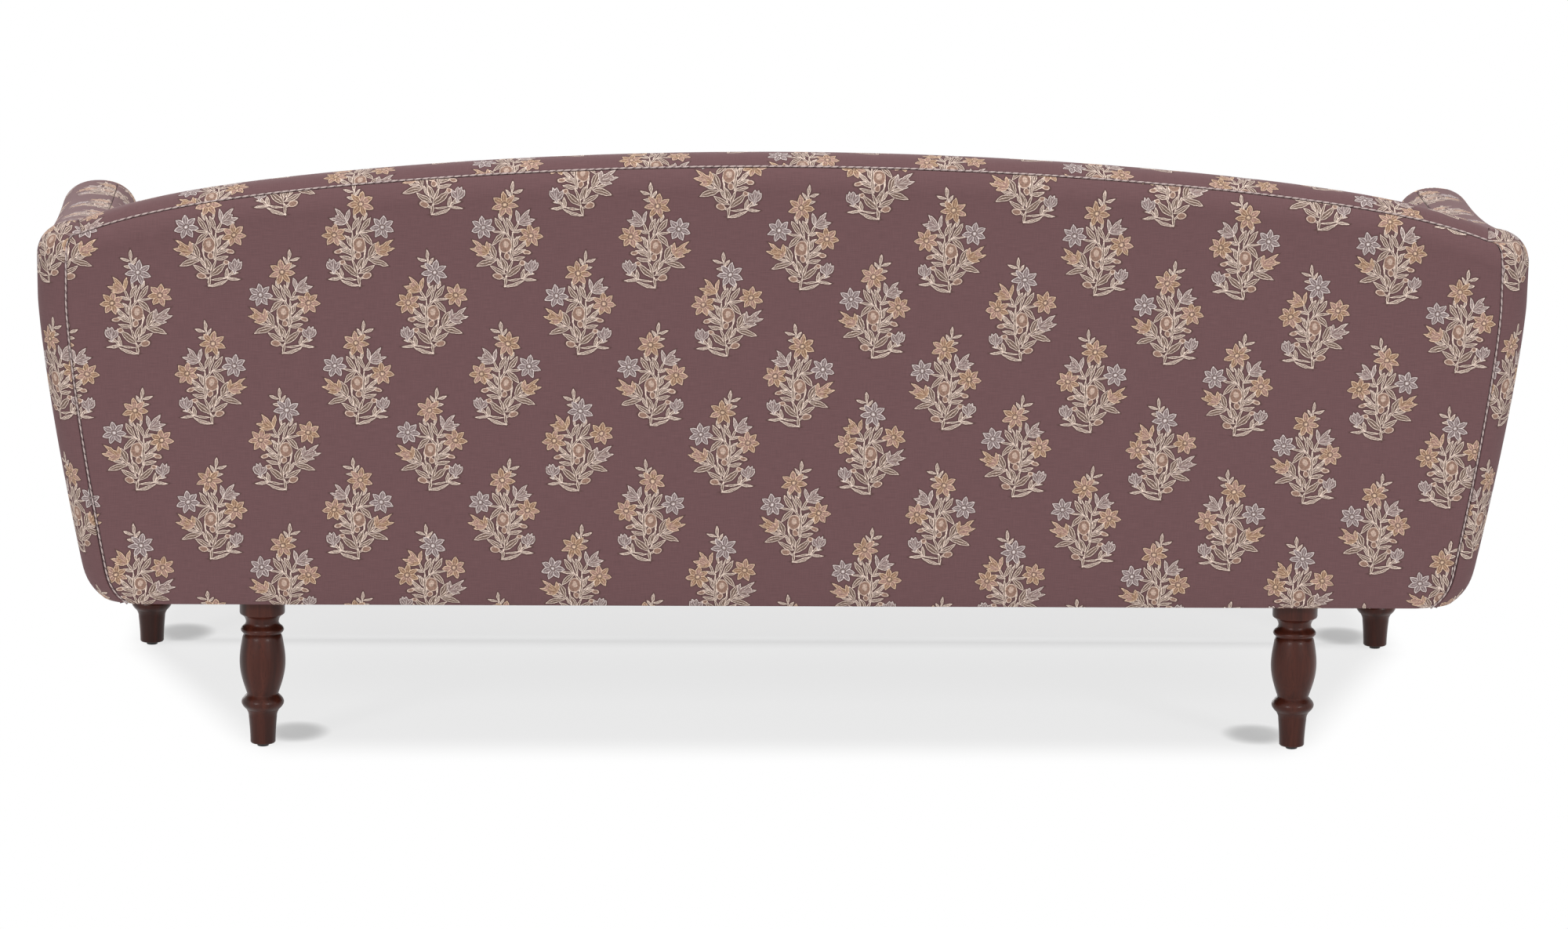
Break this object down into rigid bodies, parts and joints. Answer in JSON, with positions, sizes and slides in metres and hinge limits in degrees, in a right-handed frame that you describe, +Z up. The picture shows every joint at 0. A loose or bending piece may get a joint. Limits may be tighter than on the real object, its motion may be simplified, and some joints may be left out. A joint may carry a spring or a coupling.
{
  "type": "camelback sofa",
  "caption": "Sofa with a gently arched camelback, flared rolled arms, loose seat cushions, a welted back panel and turned wooden legs.",
  "frame": {"origin": "on the floor, under the middle of the sofa's bounding box", "axes": "+Z up, the seat faces -Y, the back faces +Y, +X towards the sitter's left hand"},
  "size_m": [2.166, 0.86, 0.881],
  "materials": {
    "printed_cloth": "matte woven cotton with a block-printed floral sprig",
    "welt_cloth": "matte bias-cut piping",
    "leg_wood": "dark red-brown satin lacquer",
    "hardwood": "bare planed hardwood",
    "foam": "polyurethane foam",
    "felt": "needled cotton felt",
    "webbing": "plain jute webbing",
    "black_cloth": "black non-woven cloth",
    "steel": "plain steel",
    "nylon": "black nylon",
    "zip_tape": "woven zip tape with nylon teeth"
  },
  "bodies": {
    "frame": {"outside_back_cover": "printed_cloth", "top_border_cover": "printed_cloth", "inside_back_cover": "printed_cloth", "outside_arm_cover_left": "printed_cloth", "outside_arm_cover_right": "printed_cloth", "inside_arm_cover_left": "printed_cloth", "inside_arm_cover_right": "printed_cloth", "arm_front_cover_left": "printed_cloth", "arm_front_cover_right": "printed_cloth", "front_border_cover": "printed_cloth", "back_welt": "welt_cloth", "inside_back_pad": "foam", "arm_pad_left": "foam", "arm_pad_right": "foam", "arm_post_left": "hardwood", "arm_post_right": "hardwood", "arm_board_left": "hardwood", "arm_board_right": "hardwood", "side_rail_left": "hardwood", "side_rail_right": "hardwood", "back_post_left": "hardwood", "back_post_right": "hardwood", "top_rail": "hardwood", "front_rail": "hardwood", "rear_rail": "hardwood", "back_tack_rail": "hardwood", "back_upright": "hardwood", "seat_brace_left": "hardwood", "seat_brace_right": "hardwood", "corner_block_front_left": "hardwood", "corner_block_front_right": "hardwood", "corner_block_rear_left": "hardwood", "corner_block_rear_right": "hardwood", "leg_front_left": "leg_wood", "leg_front_right": "leg_wood", "leg_rear_left": "leg_wood", "leg_rear_right": "leg_wood", "leg_plate_front_left": "steel", "leg_plate_front_right": "steel", "leg_plate_rear_left": "steel", "leg_plate_rear_right": "steel", "glide_front_left": "nylon", "glide_front_right": "nylon", "glide_rear_left": "nylon", "glide_rear_right": "nylon", "seat_springs": "steel", "back_webbing": "webbing", "deck_pad": "felt", "deck_cover": "printed_cloth", "dust_cover": "black_cloth"},
    "cushion_left": {"cushion_cover_left": "printed_cloth", "cushion_core_left": "foam", "cushion_zip_left": "zip_tape"},
    "cushion_right": {"cushion_cover_right": "printed_cloth", "cushion_core_right": "foam", "cushion_zip_right": "zip_tape"},
    "slider_left": {"zip_slider_left": "steel"},
    "slider_right": {"zip_slider_right": "steel"}
  },
  "joints": [
    {"name": "cushion_lift_left", "type": "slide", "parent": "frame", "child": "cushion_left", "axis": [0, 0, 1], "range_m": [0, 0.45]},
    {"name": "cushion_lift_right", "type": "slide", "parent": "frame", "child": "cushion_right", "axis": [0, 0, 1], "range_m": [0, 0.45]},
    {"name": "zip_run_left", "type": "slide", "parent": "cushion_left", "child": "slider_left", "axis": [1, 0, 0], "range_m": [0, 0.625]},
    {"name": "zip_run_right", "type": "slide", "parent": "cushion_right", "child": "slider_right", "axis": [-1, 0, 0], "range_m": [0, 0.625]}
  ]
}
